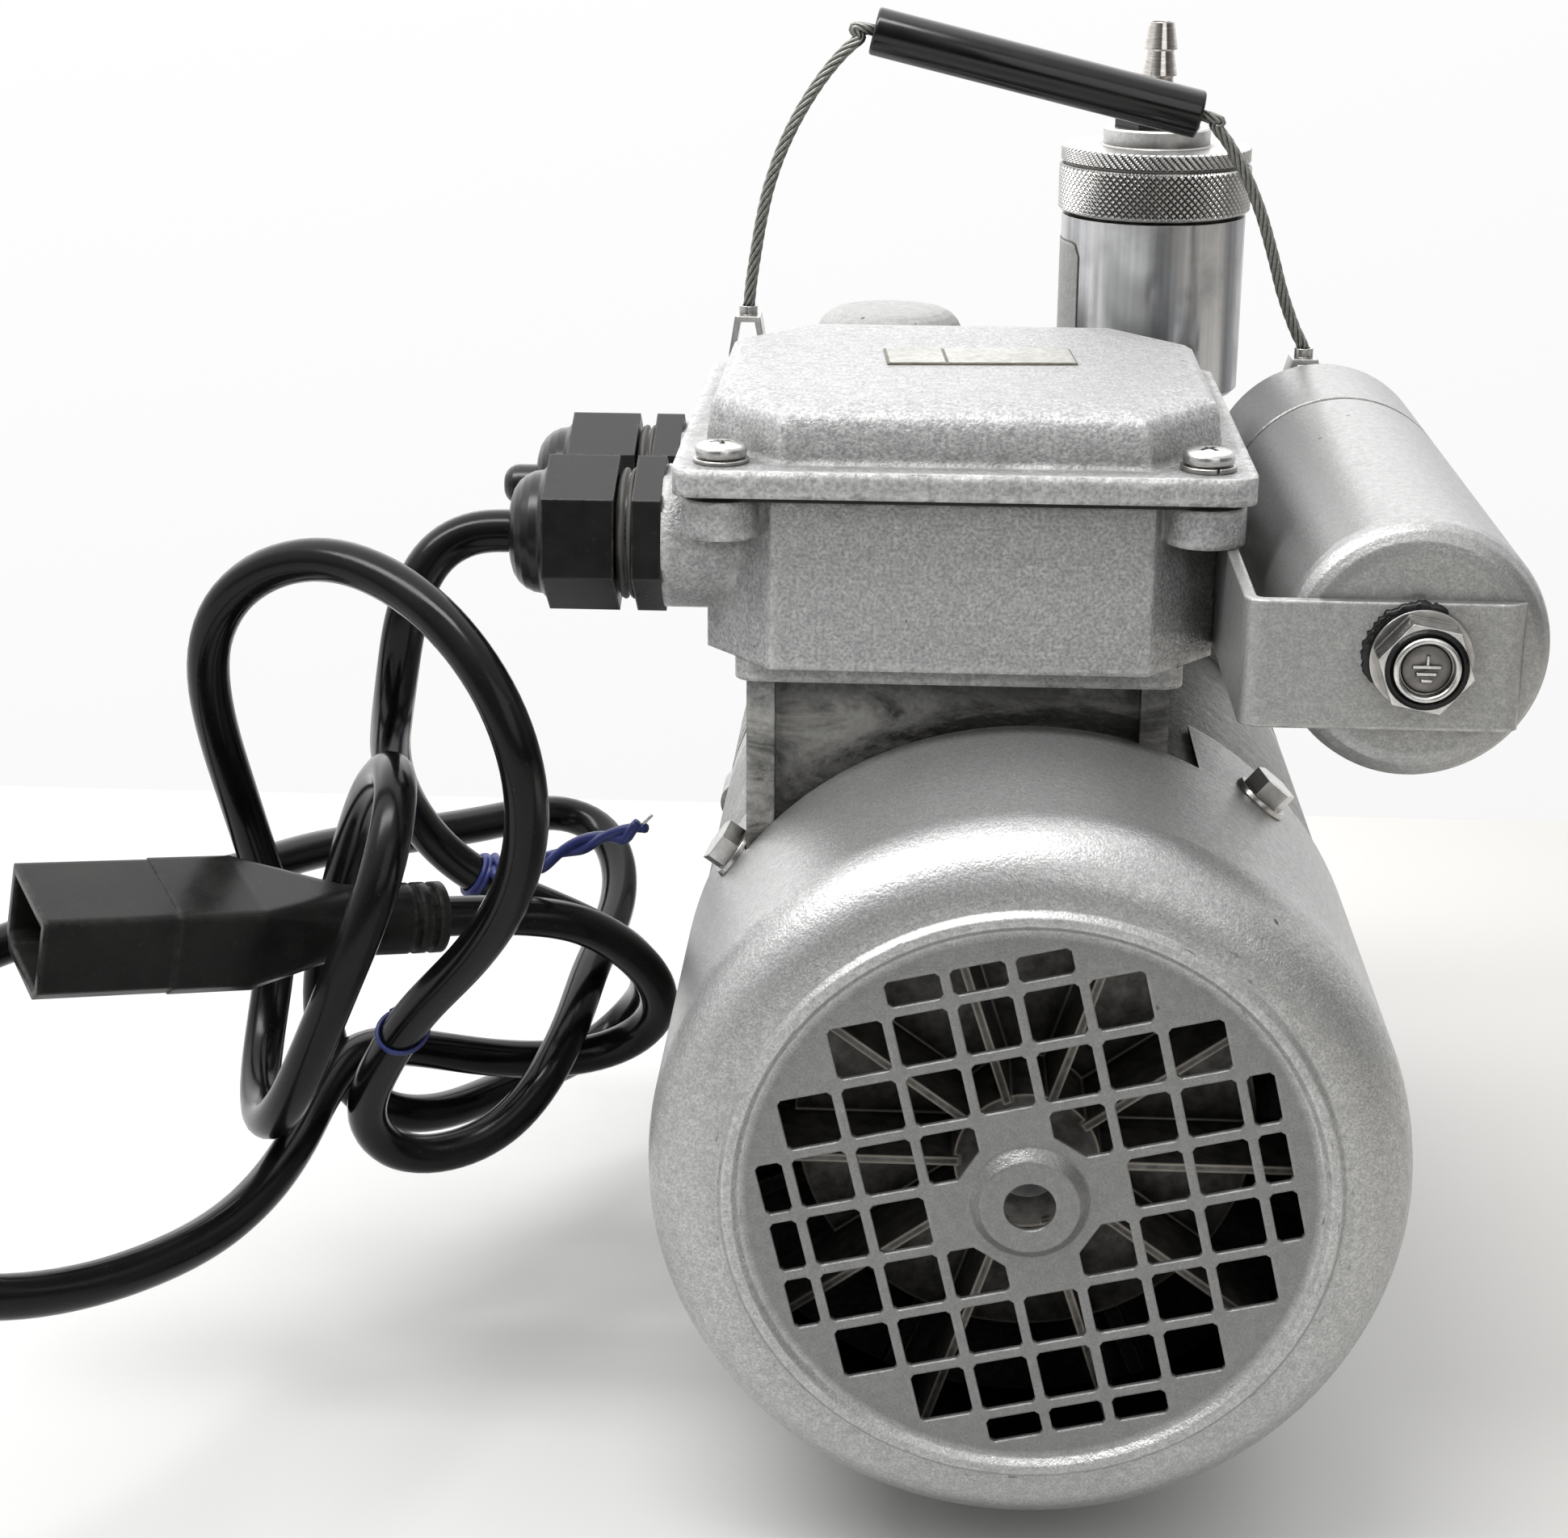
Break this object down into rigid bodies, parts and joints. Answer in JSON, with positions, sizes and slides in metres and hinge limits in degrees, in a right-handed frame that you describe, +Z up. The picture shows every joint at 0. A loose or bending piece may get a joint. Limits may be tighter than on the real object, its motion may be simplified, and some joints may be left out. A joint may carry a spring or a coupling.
{
  "type": "rotary vane vacuum pump",
  "caption": "Portable oil-free rotary vane vacuum pump with fan-cooled motor, terminal box, start capacitor, intake filter, wire-rope handle and mains lead.",
  "frame": {"origin": "on the ground under the shaft, midway between the four feet", "axes": "+X to the right seen from the fan end, +Y from the fan cowl to the pump head, +Z up"},
  "size_m": [0.3032, 0.2703, 0.2633],
  "materials": {
    "cast_paint": "textured silver-grey paint",
    "steel": "zinc plated",
    "bright_alu": "turned, satin",
    "iron": "machined",
    "black_plastic": "moulded nylon",
    "gloss_black": "glossy",
    "rubber": "matt",
    "copper": "enamelled copper wire",
    "carbon": "graphite composite",
    "filter_paper": "pleated felt",
    "brass": "nickel plated"
  },
  "bodies": {
    "housing": {"fan_cowl": "cast_paint", "cowl_screws": "steel", "rear_end_shield": "cast_paint", "motor_frame": "cast_paint", "stator_core": "iron", "stator_windings": "copper", "rear_bearing": "steel", "front_bearing": "steel", "drive_end_flange": "cast_paint", "handle_pins": "steel", "terminal_box": "cast_paint", "box_gasket": "rubber", "terminal_lid": "cast_paint", "lid_screws": "steel", "terminal_block": "black_plastic", "front_gland_body": "black_plastic", "front_gland_seal": "rubber", "front_gland_nut": "black_plastic", "rear_gland_body": "black_plastic", "rear_gland_nut": "black_plastic", "gland_plug": "rubber", "capacitor_can": "bright_alu", "capacitor_cap": "bright_alu", "capacitor_bracket": "steel", "capacitor_bolt": "steel", "bracket_screws": "steel", "pump_side_plate": "iron", "pump_cylinder": "cast_paint", "pump_cover": "cast_paint", "cover_screws": "steel", "intake_fitting": "bright_alu", "filter_cup": "bright_alu", "exhaust_silencer": "cast_paint", "rubber_foot_1": "rubber", "rubber_foot_2": "rubber", "rubber_foot_3": "rubber", "rubber_foot_4": "rubber", "mains_cord": "black_plastic", "plug_body": "black_plastic", "plug_pins": "brass"},
    "spindle": {"cooling_fan": "bright_alu", "shaft": "steel", "rotor_core": "iron", "pump_rotor": "iron"},
    "vane_a": {"vane_1": "carbon"},
    "vane_b": {"vane_2": "carbon"},
    "vane_c": {"vane_3": "carbon"},
    "vane_d": {"vane_4": "carbon"},
    "handle": {"handle_rope": "steel", "handle_link_left": "steel", "handle_link_right": "steel"},
    "grip": {"handle_grip": "gloss_black"},
    "filter_core": {"filter_element": "filter_paper"},
    "filter_head": {"filter_ring": "bright_alu", "hose_barb": "brass"}
  },
  "joints": [
    {"name": "shaft_spin", "type": "hinge", "parent": "housing", "child": "spindle", "pos_m": [0, 0, 0.076], "axis": [0, 1, 0], "continuous": true},
    {"name": "vane_a_slide", "type": "slide", "parent": "spindle", "child": "vane_a", "axis": [-0.7071, 0, -0.7071], "range_m": [-0.00088, 0]},
    {"name": "vane_b_slide", "type": "slide", "parent": "spindle", "child": "vane_b", "axis": [0.7071, 0, -0.7071], "range_m": [-0.00088, 0]},
    {"name": "vane_c_slide", "type": "slide", "parent": "spindle", "child": "vane_c", "axis": [0.7071, 0, 0.7071], "range_m": [-0.00088, 0]},
    {"name": "vane_d_slide", "type": "slide", "parent": "spindle", "child": "vane_d", "axis": [-0.7071, 0, 0.7071], "range_m": [-0.0057, 0]},
    {"name": "handle_swing", "type": "hinge", "parent": "housing", "child": "handle", "pos_m": [0, 0.021, 0.18], "axis": [1, 0, 0], "range_deg": [-15, 33]},
    {"name": "grip_spin", "type": "hinge", "parent": "handle", "child": "grip", "pos_m": [0.00075, 0.021, 0.25015], "axis": [0.9722, 0, -0.2342], "continuous": true},
    {"name": "filter_lift", "type": "slide", "parent": "housing", "child": "filter_core", "axis": [0, 0, 1], "range_m": [0, 0.0061]},
    {"name": "filter_turn", "type": "hinge", "parent": "filter_core", "child": "filter_head", "pos_m": [0.0286, 0.054, 0.22], "axis": [0, 0, 1], "range_deg": [0, 1440]}
  ],
  "couplings": [
    {"joint": "filter_lift", "follows": "filter_turn", "m_per_rad": 0.00023873}
  ]
}
